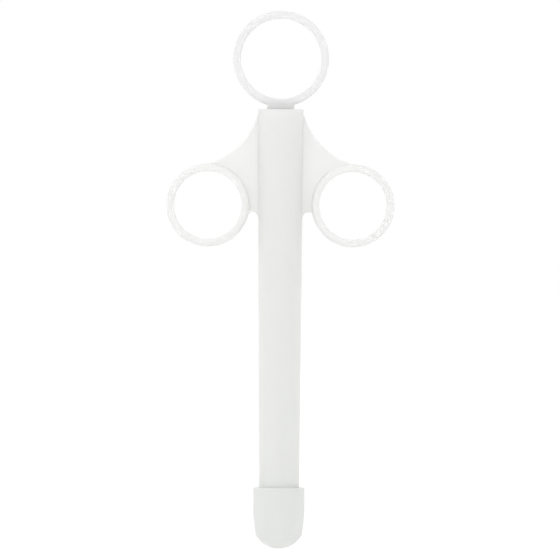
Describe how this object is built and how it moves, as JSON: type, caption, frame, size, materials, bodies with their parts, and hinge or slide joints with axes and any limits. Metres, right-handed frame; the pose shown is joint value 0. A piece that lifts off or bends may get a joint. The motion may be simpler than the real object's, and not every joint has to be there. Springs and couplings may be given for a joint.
{
  "type": "three-ring plunger injector",
  "caption": "Slim hand syringe in translucent moulded plastic: drafted barrel with webbed finger rings, thumb-ring plunger and push-on domed end cap.",
  "frame": {"origin": "tip of the end cap's dome, on the barrel's axis, with the cap on and the plunger pushed home", "axes": "+Z along the barrel's axis towards the thumb ring, X across the two finger rings, Y along the finger holes' axes"},
  "size_m": [0.0798, 0.018, 0.1882],
  "materials": {
    "barrel_plastic": "frosted translucent polypropylene",
    "plunger_plastic": "frosted translucent polypropylene",
    "seal_silicone": "milky silicone",
    "cap_plastic": "frosted translucent polyethylene"
  },
  "bodies": {
    "barrel": {"barrel": "barrel_plastic"},
    "piston": {"piston_seal": "seal_silicone"},
    "plunger": {"plunger_rod": "plunger_plastic"},
    "cap": {"end_cap": "cap_plastic"}
  },
  "joints": [
    {"name": "piston_slide", "type": "slide", "parent": "barrel", "child": "piston", "axis": [0, 0, 1], "range_m": [0, 0.118]},
    {"name": "plunger_turn", "type": "hinge", "parent": "piston", "child": "plunger", "pos_m": [0, 0, 0.0183], "axis": [0, 0, 1], "continuous": true},
    {"name": "cap_pull", "type": "slide", "parent": "barrel", "child": "cap", "axis": [0, 0, -1], "range_m": [0, 0.03]}
  ]
}
